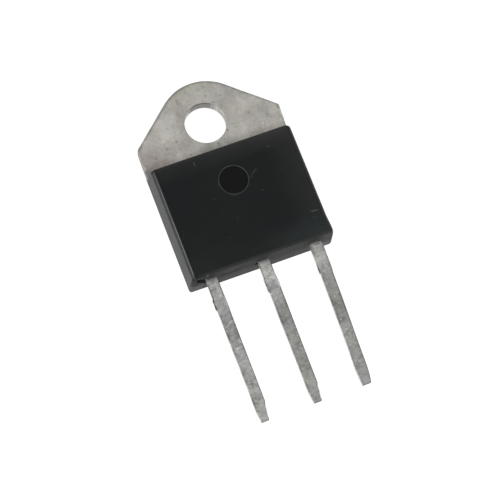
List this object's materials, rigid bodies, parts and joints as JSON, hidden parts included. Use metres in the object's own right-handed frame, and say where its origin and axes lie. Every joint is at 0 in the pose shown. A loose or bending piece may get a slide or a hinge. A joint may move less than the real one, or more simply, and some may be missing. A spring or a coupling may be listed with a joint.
{
  "type": "triac in a flat three-lead power package",
  "caption": "Power triac: black moulded body on a plated copper mounting tab with a screw hole and rounded end, with flat leads leaving the opposite side.",
  "frame": {"origin": "centre of the mounting hole on the flat back (mounting) plane", "axes": "+Z out of the front face, square to the mounting plane; +Y along the package from the leads towards the tab's round end; +X to the right seen from the front with the tab up"},
  "size_m": [0.0156, 0.0358, 0.0045],
  "materials": {
    "moulding_compound": "black epoxy moulding compound, fine satin mould finish with a few scuffs",
    "plated_copper": "dull nickel or tin plating on stamped copper, mottled and scratched",
    "tinned_lead": "dipped tin, dull, with bright scraped places",
    "solder": "solder",
    "alumina": "white sintered alumina",
    "silicon": "metallised silicon",
    "bare_copper": "bare copper strip"
  },
  "bodies": {
    "root": {"moulded_body": "moulding_compound", "heatsink_tab": "plated_copper", "insulator_solder": "solder", "ceramic_insulator": "alumina", "frame_solder": "solder", "lead_main_2": "tinned_lead", "die_solder": "solder", "silicon_die": "silicon", "main_1_contact_solder": "solder", "main_1_clip": "bare_copper", "main_1_lead_solder": "solder", "lead_main_1": "tinned_lead", "gate_contact_solder": "solder", "gate_clip": "bare_copper", "gate_lead_solder": "solder", "lead_gate": "tinned_lead"}
  },
  "joints": []
}
